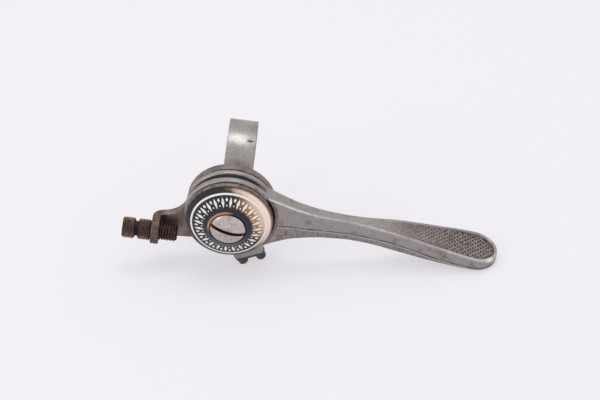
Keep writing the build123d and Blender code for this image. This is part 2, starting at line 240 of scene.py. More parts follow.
def strip(route, x_middle, x_half, thickness, rounding):
    """A flat strip with softened edges that follows a route in the YZ plane."""
    edit = bmesh.new()
    t = thickness / 2
    corner = [(x_half - rounding * (1 - math.sin(a)), t - rounding * (1 - math.cos(a)))
              for a in (math.radians(d) for d in (90, 60, 30, 0))]
    section = [(x, d) for x, d in corner] + [(-x, d) for x, d in reversed(corner)]
    section += [(-x, -d) for x, d in corner] + [(x, -d) for x, d in reversed(corner)]
    rings = []
    for y, z, out_y, out_z in route:
        rings.append([edit.verts.new(mm(x_middle + x, y + d * out_y, z + d * out_z)) for x, d in section])
    count = len(section)
    for near, far in zip(rings, rings[1:]):
        for i in range(count):
            edit.faces.new((near[i], near[(i + 1) % count], far[(i + 1) % count], far[i]))
    edit.faces.new(rings[0])
    edit.faces.new(list(reversed(rings[-1])))
    return edit


zinc_strip = metal("zinc plated strip steel", "#a19e9a", "#827e7b", 5.0, 0.34, grain_mm=0.35, grain=0.03)
tree = zinc_strip.node_tree
shader = tree.nodes["Principled BSDF"]
place = node(tree, "ShaderNodeTexCoord").outputs["Object"]
# Dark specks all over, and one long pit in the plating.
PIT_PLACE = mm(3.10, -4.52, 12.39)
specks = node(tree, "ShaderNodeTexNoise", {"Vector": place, "Scale": 1000 / 0.55, "Detail": 2.0})
speck_mask = node(tree, "ShaderNodeMapRange", {
    "Value": specks.outputs["Fac"], "From Min": 0.60, "From Max": 0.70, "To Max": 0.4})
from_pit = node(tree, "ShaderNodeVectorMath", {0: place, 1: PIT_PLACE}, operation="SUBTRACT")
stretched = node(tree, "ShaderNodeVectorMath", {
    0: from_pit.outputs[0], 1: (800.0, 1900.0, 1900.0)}, operation="MULTIPLY")
pit_reach = node(tree, "ShaderNodeVectorMath", {0: stretched.outputs[0]}, operation="LENGTH")
pit_mask = node(tree, "ShaderNodeMapRange", {
    "Value": pit_reach.outputs["Value"], "From Min": 0.5, "From Max": 0.9, "To Min": 0.85, "To Max": 0.0})
marks = node(tree, "ShaderNodeMath", {
    0: speck_mask.outputs[0], 1: pit_mask.outputs[0]}, operation="MAXIMUM")
marked = node(tree, "ShaderNodeMix", {
    "Factor": marks.outputs[0], 6: shader.inputs["Base Color"].links[0].from_socket, 7: linear("#3d3732")},
    data_type="RGBA")
tree.links.new(marked.outputs[2], shader.inputs["Base Color"])
finish("band", strip(band_route(), band_middle, band_half - 0.01, BAND_THICK, 0.12), zinc_strip,
       "clamp", "band_steel", "clamp_band", smooth=25)

# ======================================================================================
# Pinch screw, washer and square nut: they draw the two ears together under the bar.
# Plated screw steel, dulled, with a sawn slot in the cheese head.
# ======================================================================================
dull_screw_steel = metal("dulled plated screw steel", "#8f8c86", "#5f564d", 2.0, 0.38, grain_mm=0.2)


def dress(material, *names):
    """Gives CAD nodes their finish."""
    for name in names:
        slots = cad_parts[name].data.materials
        slots.clear()
        slots.append(material)


dress(dull_screw_steel, "pinch_screw", "pinch_washer", "pinch_nut")

# ======================================================================================
# Saddle, post, bush and the hidden washers: turned, blanked and sprung steel inside the stack,
# two oiled fibre washers that rub on the drum, and a brass bush pressed in the lever.
# ======================================================================================
inner_steel = metal("turned steel", "#8a8783", "#5c544c", 3.0, 0.4, grain_mm=0.2)
dress(inner_steel, "clamp_saddle", "pivot_post", "spring_washer", "thrust_washer")
oiled_fibre = metal("oiled friction fibre", "#2b2420", "#171310", 1.5, 0.6, metallic=0.0, grain_mm=0.15)
dress(oiled_fibre, "rear_friction_washer", "front_friction_washer")
bush_brass = metal("turned brass", "#b08d57", "#7a5c33", 2.0, 0.35)
dress(bush_brass, "pivot_bush")

# ======================================================================================
# Base plate: one blank of steel sheet, a disc with an arm whose end is bent forwards as a
# round tab for the adjuster. Its old plating has gone brown, with rust in the bend.
# ======================================================================================
base_low, base_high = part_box("base_plate")
barrel_low, barrel_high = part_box("adjuster_barrel")
SHEET = 2.3
BASE_BACK = -base_high.y / MM
BASE_RADIUS = base_high.x / MM
TAB_FAR = -base_low.x / MM
ADJUSTER_REACH = -(barrel_low.y + barrel_high.y) / 2 / MM
ADJUSTER_DROP = -(barrel_low.z + barrel_high.z) / 2 / MM
TAB_HALF = 3.7
ARM_FILLET = 7.4
BEND_INSIDE = 0.9


def rounded(points, radius, steps=6):
    """A closed outline with its corners rounded by arcs of one radius."""
    out = []
    count = len(points)
    for i, corner in enumerate(points):
        corner = Vector(corner)
        before = (Vector(points[i - 1]) - corner)
        after = (Vector(points[(i + 1) % count]) - corner)
        reach = min(radius, before.length * 0.45, after.length * 0.45)
        start, end = corner + before.normalized() * reach, corner + after.normalized() * reach
        for k in range(steps + 1):
            t = k / steps
            out.append(start * (1 - t) ** 2 + corner * 2 * t * (1 - t) + end * t ** 2)
    return out


def arc(centre_x, centre_z, radius, start, end, steps):
    """Points on an arc, by degrees."""
    angles = [math.radians(start + (end - start) * i / steps) for i in range(steps + 1)]
    return [Vector((centre_x + radius * math.cos(a), centre_z + radius * math.sin(a))) for a in angles]


def base_blank():
    """The flat blank before it is bent, as X and Z."""
    neutral = BEND_INSIDE + SHEET / 2
    bend_at = -(TAB_FAR - SHEET - BEND_INSIDE)
    flat_tab = bend_at - neutral * math.pi / 2 - (ADJUSTER_REACH - BASE_BACK - SHEET - BEND_INSIDE)
    top = -ADJUSTER_DROP + TAB_HALF
    tongue = arc(flat_tab, -ADJUSTER_DROP, TAB_HALF, 90, 270, 20)
    root = Vector((BASE_RADIUS * math.cos(math.radians(190)), 0))
    middle = Vector((root.x - ARM_FILLET, top + ARM_FILLET))
    along = (BASE_RADIUS ** 2 - ARM_FILLET ** 2 + middle.length_squared) / (2 * middle.length)
    crossing = math.degrees(math.atan2(middle.y, middle.x) + math.acos(along / BASE_RADIUS))
    fillet = [p for p in arc(middle.x, middle.y, ARM_FILLET, 360, 270, 16) if p.length > BASE_RADIUS + 0.05]
    disc = arc(0, 0, BASE_RADIUS, -84, crossing, 96)
    belly = rounded([(-15, -ADJUSTER_DROP - TAB_HALF), (-10.2, -13.7), tuple(disc[0])], 3.0)[7:14]
    return disc + fillet + tongue + [Vector((-15, -ADJUSTER_DROP - TAB_HALF))] + belly, bend_at


def bent_plate():
    """The blank made solid and bent forwards at its left end."""
    outline, bend_at = base_blank()
    edit = bmesh.new()
    back = [edit.verts.new(Vector((p.x, 0.0, p.y))) for p in outline]
    face = edit.faces.new(back)
    made = bmesh.ops.extrude_face_region(edit, geom=[face])
    for v in [g for g in made["geom"] if isinstance(g, bmesh.types.BMVert)]:
        v.co.y = -SHEET
    neutral = BEND_INSIDE + SHEET / 2
    for k in range(13):
        bmesh.ops.bisect_plane(
            edit, geom=edit.verts[:] + edit.edges[:] + edit.faces[:],
            plane_co=Vector((bend_at - neutral * math.pi / 2 * k / 12, 0, 0)), plane_no=Vector((1, 0, 0)))
    sharp = [e for e in edit.edges if len(e.link_faces) == 2 and e.calc_face_angle(0) > 0.9]
    bmesh.ops.bevel(edit, geom=sharp, offset=0.28, segments=3, profile=0.5, affect="EDGES")
    for v in edit.verts:
        past = bend_at - v.co.x
        if past > 0:
            radius = BEND_INSIDE + SHEET + v.co.y
            angle = min(past / neutral, math.pi / 2)
            straight = max(0.0, past - neutral * math.pi / 2)
            v.co.x = bend_at - radius * math.sin(angle)
            v.co.y = -(SHEET + BEND_INSIDE) + radius * math.cos(angle) - straight
        v.co = mm(v.co.x, v.co.y - BASE_BACK, v.co.z)
    bmesh.ops.triangulate(edit, faces=[f for f in edit.faces if len(f.verts) > 4])
    return edit


brown_steel = metal("browned sheet steel", "#8d837d", "#67574f", 3.5, 0.40, metallic=0.85, grain_mm=0.3,
                    soil=0.7)
tree = brown_steel.node_tree
shader = tree.nodes["Principled BSDF"]
place = node(tree, "ShaderNodeTexCoord").outputs["Object"]
where = node(tree, "ShaderNodeSeparateXYZ", {0: place})
# The tab is browned all over, and one spot of rust sits on the arm.
RUST_PLACE = mm(-18.3, -18.2, -7.4)
rough_edge = node(tree, "ShaderNodeTexNoise", {
    "Vector": place, "Scale": 1000 / 1.3, "Detail": 5.0, "Roughness": 0.7})
toward_tab = node(tree, "ShaderNodeMapRange", {
    "Value": where.outputs[0], "From Min": -0.0175, "From Max": -0.0195})
browned = node(tree, "ShaderNodeMapRange", {
    "Value": rough_edge.outputs["Fac"], "From Min": 0.3, "From Max": 0.6, "To Min": 0.45, "To Max": 0.95})
tab_brown = node(tree, "ShaderNodeMath", {
    0: toward_tab.outputs[0], 1: browned.outputs[0]}, operation="MULTIPLY")
with_tab = node(tree, "ShaderNodeMix", {
    "Factor": tab_brown.outputs[0], 6: shader.inputs["Base Color"].links[0].from_socket,
    7: linear("#55443b")}, data_type="RGBA")
from_spot = node(tree, "ShaderNodeVectorMath", {0: place, 1: RUST_PLACE}, operation="DISTANCE")
spot = node(tree, "ShaderNodeMath", {
    0: rough_edge.outputs["Fac"], 1: 0.0016, 2: from_spot.outputs["Value"]}, operation="MULTIPLY_ADD")
rust_mask = node(tree, "ShaderNodeMapRange", {
    "Value": spot.outputs[0], "From Min": 0.0021, "From Max": 0.0013, "To Max": 0.85})
rusted = node(tree, "ShaderNodeMix", {
    "Factor": rust_mask.outputs[0], 6: with_tab.outputs[2], 7: linear("#6b3c1f")}, data_type="RGBA")
tree.links.new(rusted.outputs[2], shader.inputs["Base Color"])
finish("base", bent_plate(), brown_steel, "clamp", "base_steel", "base_plate", smooth=30)

# ======================================================================================
# Lever: one casting of light alloy with a grooved cable drum, a waisted arm and a flat
# thumb paddle with a sunken, knurled pad. Bead-satin and handled, with a fine parting
# line round its middle, and old greasy dirt in the groove. Its colour also holds painted
# light: painted shade, near black, in the gap at the drum's front rim, painted shade over
# the side below the parting line, and painted highlight with wear on the front edges.
# ======================================================================================
drum_back, drum_front = 18.57, 24.0
groove_back, groove_front = 20.3, 22.1
DRUM_RADIUS, REAR_FLANGE, GROOVE_FLOOR, BUSH_SEAT = 12.65, 12.55, 9.6, 5.66
drum_middle = (drum_back + drum_front) / 2
LEVER_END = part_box("lever")[1].x / MM
TIP_RADIUS = 6.45
TIP_CENTRE = LEVER_END - 0.04 - TIP_RADIUS
ARM_START = 6.0
PAD_START = 41.0
PAD_RIM, PAD_WALL = 0.85, 0.45
PAD_DEPTH, PAD_DEEPER = 0.32, 0.45
EDGE_TOP, EDGE_UNDER = 0.55, 0.9


def read_off(stations, x):
    """A smooth value at x through a few (x, value) stations."""
    if x <= stations[0][0]:
        return stations[0][1]
    for i in range(len(stations) - 1):
        (x0, v0), (x1, v1) = stations[i], stations[i + 1]
        if x <= x1:
            left = stations[i - 1] if i else stations[i]
            right = stations[i + 2] if i + 2 < len(stations) else stations[i + 1]
            m0 = (v1 - left[1]) / (x1 - left[0]) * (x1 - x0)
            m1 = (right[1] - v0) / (right[0] - x0) * (x1 - x0)
            t = (x - x0) / (x1 - x0)
            return (v0 * (2 * t ** 3 - 3 * t ** 2 + 1) + m0 * (t ** 3 - 2 * t ** 2 + t)
                    + v1 * (3 * t ** 2 - 2 * t ** 3) + m1 * (t ** 3 - t ** 2))
    return stations[-1][1]


LEVER_TOP = [
    (5, 9.6), (10.4, 7.8), (13.5, 6.65), (16.3, 5.6), (19.2, 4.65), (24.9, 3.35), (30.6, 2.75),
    (36.2, 2.35),
    (41.9, 1.97), (47.6, 1.6), (53.3, 0.85), (59, 0.02), (64.7, -0.72), (69.9, -1.48), (76, -2.2)]
LEVER_UNDER = [
    (5, -10.4), (9, -9.6), (13.5, -7.6), (16.3, -6.4), (19.2, -5.55), (24.9, -4.45), (30.6, -4.0),
    (36.2, -3.9),
    (41.9, -4.0), (47.6, -4.45), (53.3, -4.9), (59, -5.2), (64.7, -5.42), (70, -5.46), (76, -5.4)]
LEVER_HALF = [
    (6, 2.7), (9.5, 2.65), (13.5, 2.35), (19.2, 2.08), (30, 1.95), (34, 1.95), (39.1, 2.45), (44.8, 3.35),
    (50.4, 4.15), (56.2, 5.0), (61.9, 5.75), (66, 6.22), (TIP_CENTRE, TIP_RADIUS)]


def half_width(x):
    """Half the lever's width in plan."""
    if x > TIP_CENTRE:
        return math.sqrt(max(0.0, TIP_RADIUS ** 2 - (x - TIP_CENTRE) ** 2))
    return read_off(LEVER_HALF, x)


def from_edge(x, side):
    """How far a point in plan lies inside the lever's outline."""
    if x > TIP_CENTRE:
        return TIP_RADIUS - math.hypot(x - TIP_CENTRE, side)
    return half_width(x) - abs(side)


def step(low, high, value):
    """A smooth step from 0 at low to 1 at high, where low may be the larger."""
    t = min(1.0, max(0.0, (value - low) / (high - low)))
    return t * t * (3 - 2 * t)


def pad_sunk(x, side):
    """1 in the sunken thumb pad, 0 outside it."""
    return step(PAD_RIM, PAD_RIM + PAD_WALL, from_edge(x, side)) * step(PAD_START, PAD_START + 9.0, x)


def dropped(radius, edge):
    """How far an edge rounded to a radius has dropped, at a distance inside the outline."""
    return radius - math.sqrt(max(0.0, radius ** 2 - max(0.0, radius - edge) ** 2))


def lever_surface(x, side):
    """The top and underside of the arm at a place in plan."""
    top, under = read_off(LEVER_TOP, x), read_off(LEVER_UNDER, x)
    middle = (top + under) / 2
    edge = max(0.0, from_edge(x, side))
    upper = top - min(top - middle, dropped(EDGE_TOP, edge))
    lower = under + min(middle - under, dropped(EDGE_UNDER, edge))
    if edge < 0.02:
        upper = lower = middle
    return upper - (PAD_DEPTH + PAD_DEEPER * step(58, 72, x)) * pad_sunk(x, side), lower


def lever_arm():
    """The arm and paddle as a top and a bottom sheet that meet at the parting line."""
    edit = bmesh.new()
    stations = [ARM_START + (TIP_CENTRE - ARM_START) * i / 190 for i in range(190)]
    stations += [TIP_CENTRE + TIP_RADIUS * math.sin(math.pi / 2 * i / 24) for i in range(25)]
    columns = 44
    rows = []
    for x in stations:
        row = []
        for j in range(columns + 1):
            share = math.sin(math.pi / 2 * math.sin(math.pi / 2 * (2 * j / columns - 1)))
            side = share * half_width(x)
            top, under = lever_surface(x, side)
            y = -drum_middle + side
            row.append((mm(x, y, top), mm(x, y, under)))
        rows.append(row)
    upper = [[edit.verts.new(top) for top, _ in row] for row in rows]
    lower = [[edit.verts.new(under) for _, under in row] for row in rows]
    for i in range(len(rows) - 1):
        for j in range(columns):
            edit.faces.new((upper[i][j], upper[i + 1][j], upper[i + 1][j + 1], upper[i][j + 1]))
            edit.faces.new((lower[i][j], lower[i][j + 1], lower[i + 1][j + 1], lower[i + 1][j]))
    edit.faces.new(upper[0] + list(reversed(lower[0])))
    bmesh.ops.remove_doubles(edit, verts=edit.verts, dist=2e-6)
    bmesh.ops.recalc_face_normals(edit, faces=edit.faces)
    return edit


def lathe(profile, steps=64):
    """A closed solid turned about the local Z axis from (radius, height) corners in millimetres."""
    edit = bmesh.new()
    rings = []
    for k in range(steps):
        angle = 2 * math.pi * k / steps
        rings.append([edit.verts.new(mm(r * math.cos(angle), r * math.sin(angle), h)) for r, h in profile])
    size = len(profile)
    for k in range(steps):
        near, far = rings[k], rings[(k + 1) % steps]
        for i in range(size):
            j = (i + 1) % size
            if profile[i][0] < 1e-6 and profile[j][0] < 1e-6:
                continue
            edit.faces.new([near[i], near[j], far[j], far[i]])
    bmesh.ops.remove_doubles(edit, verts=edit.verts, dist=1e-6)
    return edit


def on_pivot(edit):
    """Lays a turned solid on the pivot axis, its height becoming the reach."""
    for v in edit.verts:
        v.co = (v.co.x, -v.co.z, v.co.y)
    return edit


def cable_drum():
    """The drum, with its cable groove and the seat for the bush."""
    chamfer, lip = 0.3, 0.1
    return on_pivot(lathe([
        (BUSH_SEAT, drum_back), (REAR_FLANGE - chamfer, drum_back), (REAR_FLANGE, drum_back + chamfer),
        (REAR_FLANGE, groove_back - chamfer), (REAR_FLANGE - chamfer, groove_back),
        (GROOVE_FLOOR + 0.5, groove_back + lip), (GROOVE_FLOOR, (groove_back + groove_front) / 2),
        (GROOVE_FLOOR + 0.5, groove_front - lip), (DRUM_RADIUS - chamfer, groove_front),
        (DRUM_RADIUS, groove_front + chamfer), (DRUM_RADIUS, drum_front - chamfer),
        (DRUM_RADIUS - chamfer, drum_front), (BUSH_SEAT, drum_front)], 180))


ANCHOR = math.radians(-63.0)
LUG_FLAT = 14.8
LUG_HALF = 4.15
anchor_out = Vector((math.cos(ANCHOR), 0, math.sin(ANCHOR)))
anchor_side = Vector((-math.sin(ANCHOR), 0, math.cos(ANCHOR)))


def block(edit, middle, sides, halves):
    """Adds a closed block with its own three directions."""
    corners = [edit.verts.new(middle + sides[0] * halves[0] * a + sides[1] * halves[1] * b
                              + sides[2] * halves[2] * c)
               for a in (-1, 1) for b in (-1, 1) for c in (-1, 1)]
    for quad in ((0, 1, 3, 2), (4, 6, 7, 5), (0, 4, 5, 1), (2, 3, 7, 6), (0, 2, 6, 4), (1, 5, 7, 3)):
        edit.faces.new([corners[i] for i in quad])


def join_into(target, source):
    """Moves one bmesh's faces into another."""
    spare = bpy.data.meshes.new("spare")
    source.to_mesh(spare)
    source.free()
    target.from_mesh(spare)
    bpy.data.meshes.remove(spare)


casting = cable_drum()
join_into(casting, lever_arm())
lug_reach = (groove_back + drum_front) / 2
block(casting, (anchor_out * (GROOVE_FLOOR + LUG_FLAT) / 2 + Vector((0, -lug_reach, 0))) * MM,
      (anchor_out * MM, anchor_side * MM, Vector((0, MM, 0))),
      ((LUG_FLAT - GROOVE_FLOOR) / 2, LUG_HALF, (drum_front - groove_back) / 2))
bmesh.ops.recalc_face_normals(casting, faces=casting.faces)

cast_alloy = metal("bead satin cast alloy", "#9b9594", "#7b7472", 2.6, 0.38, metallic=0.9,
                   grain_mm=0.5, grain=0.04, soil=0.3)
tree = cast_alloy.node_tree
shader = tree.nodes["Principled BSDF"]
alloy_colour = shader.inputs["Base Color"].links[0].from_socket
alloy_rough = shader.inputs["Roughness"].links[0].from_socket
place = node(tree, "ShaderNodeTexCoord").outputs["Object"]
pad_mask, groove_mask, parting, wear_and_highlight, grease_and_gap_shade, soot = (
    node(tree, "ShaderNodeAttribute", attribute_name=name).outputs["Fac"]
    for name in ("pad", "groove", "parting", "worn", "grease_and_gap_shade", "soot"))
# The parting line wanders, holds dirt in places, and has a light line under it.
wander = node(tree, "ShaderNodeTexNoise", {"Vector": place, "Scale": 1000 / 1.6, "Detail": 4.0})
waver = node(tree, "ShaderNodeMath", {0: wander.outputs["Fac"], 1: 0.5, 2: -0.25}, operation="MULTIPLY_ADD")
strayed = node(tree, "ShaderNodeMath", {0: parting, 1: waver.outputs[0]}, operation="ADD")
apart = node(tree, "ShaderNodeMath", {0: strayed.outputs[0]}, operation="ABSOLUTE")
seam_edge = node(tree, "ShaderNodeMapRange", {
    "Value": apart.outputs[0], "From Min": 0.08, "From Max": 0.30, "To Min": 1.0, "To Max": 0.0})
drawn_out = node(tree, "ShaderNodeVectorMath", {0: place, 1: (450.0, 900.0, 900.0)}, operation="MULTIPLY")
broken = node(tree, "ShaderNodeTexNoise", {
    "Vector": drawn_out.outputs[0], "Scale": 1.0, "Detail": 3.0, "Roughness": 0.6})
kept_dirt = node(tree, "ShaderNodeMapRange", {
    "Value": broken.outputs["Fac"], "From Min": 0.42, "From Max": 0.58, "To Min": 0.45, "To Max": 0.95})
seam_line = node(tree, "ShaderNodeMath", {
    0: seam_edge.outputs[0], 1: kept_dirt.outputs[0]}, operation="MULTIPLY")
below = node(tree, "ShaderNodeMath", {0: strayed.outputs[0], 1: 0.52}, operation="ADD")
below_by = node(tree, "ShaderNodeMath", {0: below.outputs[0]}, operation="ABSOLUTE")
light_line = node(tree, "ShaderNodeMapRange", {
    "Value": below_by.outputs[0], "From Min": 0.06, "From Max": 0.22, "To Min": 0.5, "To Max": 0.0})
blotch = node(tree, "ShaderNodeTexNoise", {
    "Vector": place, "Scale": 1000 / 1.1, "Detail": 5.0, "Roughness": 0.65})
worn_rim = node(tree, "ShaderNodeMapRange", {
    "Value": blotch.outputs["Fac"], "From Min": 0.35, "From Max": 0.62, "To Min": 0.55, "To Max": 1.0})
pad_dirt = node(tree, "ShaderNodeMath", {0: pad_mask, 1: worn_rim.outputs[0]}, operation="MULTIPLY")
groove_dirt = node(tree, "ShaderNodeMath", {0: groove_mask, 1: worn_rim.outputs[0]}, operation="MULTIPLY")
# Grit pits below the parting line; the pits' floor of 0.2 also darkens that whole lower side evenly, a
# painted shade.
grit = node(tree, "ShaderNodeTexNoise", {
    "Vector": place, "Scale": 1000 / 0.7, "Detail": 4.0, "Roughness": 0.7})
pits = node(tree, "ShaderNodeMapRange", {
    "Value": grit.outputs["Fac"], "From Min": 0.50, "From Max": 0.64, "To Min": 0.2, "To Max": 0.85})
low_side = node(tree, "ShaderNodeMapRange", {"Value": parting, "From Min": -0.2, "From Max": -0.7})
grit_and_lower_shade = node(tree, "ShaderNodeMath", {0: pits.outputs[0], 1: low_side.outputs[0]}, operation="MULTIPLY")
pad_tone = node(tree, "ShaderNodeMix", {
    "Factor": soot, 6: linear("#8f8680"), 7: linear("#2a1e14")}, data_type="RGBA")
# The light front edges mix rubbed wear with a painted highlight.
edge_wear_and_highlight = node(tree, "ShaderNodeMath", {0: wear_and_highlight, 1: worn_rim.outputs[0]}, operation="MULTIPLY")
colour = alloy_colour
# The near black tone is painted shade in the gap at the drum's front rim, mixed with some grease.
for share, tone in (
        (grit_and_lower_shade.outputs[0], linear("#5b504a")), (pad_dirt.outputs[0], pad_tone.outputs[2]),
        (groove_dirt.outputs[0], linear("#75604c")), (edge_wear_and_highlight.outputs[0], linear("#f3e9e0")),
        (light_line.outputs[0], linear("#c9c2bf")), (seam_line.outputs[0], linear("#46362a")),
        (grease_and_gap_shade, linear("#17120f"))):
    colour = node(tree, "ShaderNodeMix", {"Factor": share, 6: colour, 7: tone}, data_type="RGBA").outputs[2]
tree.links.new(colour, shader.inputs["Base Color"])
most = node(tree, "ShaderNodeMath", {
    0: pad_dirt.outputs[0], 1: groove_dirt.outputs[0]}, operation="MAXIMUM")
dull = node(tree, "ShaderNodeMix", {"Factor": most.outputs[0], 2: alloy_rough, 3: 0.7})
tree.links.new(dull.outputs[0], shader.inputs["Roughness"])



def settle(piece):
    """Makes what a piece's modifiers show its own mesh, and drops them."""
    mesh = bpy.data.meshes.new_from_object(piece.evaluated_get(bpy.context.evaluated_depsgraph_get()))
    piece.modifiers.clear()
    piece.data = mesh
    return mesh


def carve(piece, cutter, material):
    """Cuts a solid out of a piece, and gives the cut faces a finish."""
    bmesh.ops.recalc_face_normals(cutter, faces=cutter.faces)
    mesh = bpy.data.meshes.new("cutter")
    cutter.to_mesh(mesh)
    cutter.free()
    mesh.materials.append(material)
    tool = bpy.data.objects.new("cutter", mesh)
    scene.collection.objects.link(tool)
    cut = piece.modifiers.new("cut", "BOOLEAN")
    cut.operation = "DIFFERENCE"
    cut.solver = "EXACT"
    cut.material_mode = "TRANSFER"
    cut.object = tool
    shape = settle(piece)
    bpy.data.objects.remove(tool)
    return shape


SKIN_FINENESS = 0.22
lever = finish("lever_casting", casting, cast_alloy, "lever", "lever_alloy", "lever")
remesh = lever.modifiers.new("one skin", "REMESH")
remesh.mode = "VOXEL"
remesh.voxel_size = SKIN_FINENESS * MM
soften = lever.modifiers.new("cast edges", "SMOOTH")
soften.factor = 0.5
soften.iterations = 2
settle(lever)

SLOT_TRACK, SLOT_HALF, SLOT_FLOOR = 7.6, 1.13, drum_back + 2.22
SLOT_START, SLOT_SWING, SLOT_STEPS = 42, 136, 32
slot_cut = bmesh.new()
rings = []
for k in range(SLOT_STEPS + 1):
    swing = math.radians(SLOT_START + SLOT_SWING * k / SLOT_STEPS)
    rings.append([slot_cut.verts.new(mm(r * math.cos(swing), -reach, r * math.sin(swing))) for r, reach in (
        (SLOT_TRACK - SLOT_HALF, drum_back - 0.6), (SLOT_TRACK + SLOT_HALF, drum_back - 0.6),
        (SLOT_TRACK + SLOT_HALF, SLOT_FLOOR), (SLOT_TRACK - SLOT_HALF, SLOT_FLOOR))])
for near, far in zip(rings, rings[1:]):
    for i in range(4):
        slot_cut.faces.new((near[i], near[(i + 1) % 4], far[(i + 1) % 4], far[i]))
slot_cut.faces.new(list(reversed(rings[0])))
slot_cut.faces.new(rings[-1])
shape = carve(lever, slot_cut, cast_alloy)
shape.shade_smooth()
shape.set_sharp_from_angle(angle=math.radians(50))

# Masks for the finish: how much of each mark every point of the casting shows.
SEAM_SHARE = [(6, 0.58), (14, 0.58), (24, 0.61), (36, 0.60), (47, 0.55), (56, 0.66), (63, 0.72), (76, 0.72)]
# How strongly the top edges show wear and painted highlight along the arm.
EDGE_WEAR_AND_HIGHLIGHT_SHARE = [(5, 0.0), (8, 0.9), (14, 1.0), (20, 0.85), (25, 0.4), (31, 0.1), (40, 0.2), (55, 0.2),
              (64, 0.45), (76, 0.55)]
values = {"pad": [], "groove": [], "parting": [], "worn": [], "grease_and_gap_shade": [], "soot": []}
for vertex in shape.vertices:
    x, reach, z = vertex.co.x / MM, -vertex.co.y / MM, vertex.co.z / MM
    side = drum_middle - reach
    inward = from_edge(x, side)
    radius = math.hypot(x, z)
    top, under = read_off(LEVER_TOP, x), read_off(LEVER_UNDER, x)
    on_top = step(top - 1.5, top - 1.0, z)
    values["pad"].append(pad_sunk(x, side) * on_top if x > PAD_START else 0.0)
    values["soot"].append(min(1.0, 0.1 + 0.7 * step(46, 70, x) + 0.3 * step(-1.0, 4.0, side)))
    in_groove = step(groove_back - 0.15, groove_back + 0.15, reach) * step(groove_front + 0.1,
                                                                           groove_front - 0.1, reach)
    step_dirt = step(12.9, 13.1, radius) * step(13.7, 13.4, radius) * step(23.2, 23.5,
                                                                           reach) if x > 10 else 0.0
    values["groove"].append(max(in_groove * step(12.5, 12.2, radius), 0.9 * step_dirt))
    on_side = x > 13.5 and abs(vertex.normal.z) < 0.6 and inward < 0.9
    share = read_off(SEAM_SHARE, x)
    values["parting"].append(z - (top * (1 - share) + under * share) if on_side else 3.0)
    # Top edges: wear with a painted highlight, full on the front side and weaker at the back; the tip's
    # front rim gets a painted highlight crescent with its wear.
    from_corner = math.hypot(max(inward, 0.0), top - z)
    near_corner = step(0.55, 0.22, from_corner) if side < 0 else 0.3 * step(0.55, 0.22, from_corner)
    tip_rim_wear_and_highlight = step(66, 70, x) * step(1.5, 0.5, abs(side + 4.6)) * step(0.9, 0.4, inward) * step(top - 1.2,
                                                                                                  top - 0.6,
                                                                                                  z)
    values["worn"].append(max(near_corner * read_off(EDGE_WEAR_AND_HIGHLIGHT_SHARE, x), tip_rim_wear_and_highlight))
    # A ring at the drum's front rim on the right: painted shade in the gap under the friction plate, with
    # some grease.
    round_hub = math.degrees(math.atan2(z, x))
    facing = step(-75, -55, round_hub) * step(55, 30, round_hub)
    values["grease_and_gap_shade"].append(step(12.95, 12.7, radius) * step(23.2, 23.5, reach) * facing)
for name, numbers in values.items():
    shape.attributes.new(name, "FLOAT", "POINT").data.foreach_set("value", numbers)

# ======================================================================================
# Thumb pad knurl: crossed ridges cast in the sunken pad, which leave diamond pits and fade in
# from the lever's neck. The ridges are handled bright and the pits are dirty.
# ======================================================================================
KNURL_PITCH = 1.22
KNURL_ROW = KNURL_PITCH * math.cos(math.radians(52))
KNURL_COLUMN = KNURL_PITCH * math.sin(math.radians(52)) * 0.86


def pattern(name, source, material, build, **sizes):
    """Runs a Geometry Nodes tree with named sizes on a mesh, and keeps the result as a plain mesh."""
    tree = bpy.data.node_groups.new(name, "GeometryNodeTree")
    tree.interface.new_socket("Seats", in_out="INPUT", socket_type="NodeSocketGeometry")
    tree.interface.new_socket("Result", in_out="OUTPUT", socket_type="NodeSocketGeometry")
    identifiers = {}
    for label, size in sizes.items():
        kind = "NodeSocketInt" if isinstance(size, int) else "NodeSocketFloat"
        identifiers[label] = tree.interface.new_socket(label, in_out="INPUT", socket_type=kind).identifier
    start = node(tree, "NodeGroupInput")
    built = build(tree, start.outputs["Seats"], {label: start.outputs[label] for label in sizes})
    real = node(tree, "GeometryNodeRealizeInstances", {0: built})
    painted = node(tree, "GeometryNodeSetMaterial", {"Geometry": real.outputs[0], "Material": material})
    node(tree, "NodeGroupOutput", {0: painted.outputs[0]})
    holder = bpy.data.objects.new(name, source)
    scene.collection.objects.link(holder)
    modifier = holder.modifiers.new(name, "NODES")
    modifier.node_group = tree
    for label, size in sizes.items():
        modifier[identifiers[label]] = size
    mesh = bpy.data.meshes.new_from_object(holder.evaluated_get(bpy.context.evaluated_depsgraph_get()))
    bpy.data.objects.remove(holder)
    piece = bpy.data.objects.new(name, mesh)
    scene.collection.objects.link(piece)
    return piece


seat_points, seat_sizes = [], []
count = int(80 / KNURL_PITCH)
for i in range(-count, count):
    for j in range(-count, count):
        x = 58 + (i + j) * KNURL_ROW
        side = (i - j) * KNURL_COLUMN
        if not PAD_START + 4 < x < LEVER_END or from_edge(x, side) < PAD_RIM + 0.5:
            continue
        seat_points.append(mm(x, -drum_middle + side, lever_surface(x, side)[0] - 0.04))
        seat_sizes.append(0.45 + 0.55 * step(PAD_START + 4, PAD_START + 15, x))
seats = bpy.data.meshes.new("pad seats")
seats.from_pydata(seat_points, [], [])
seats.attributes.new("size", "FLOAT", "POINT").data.foreach_set("value", seat_sizes)


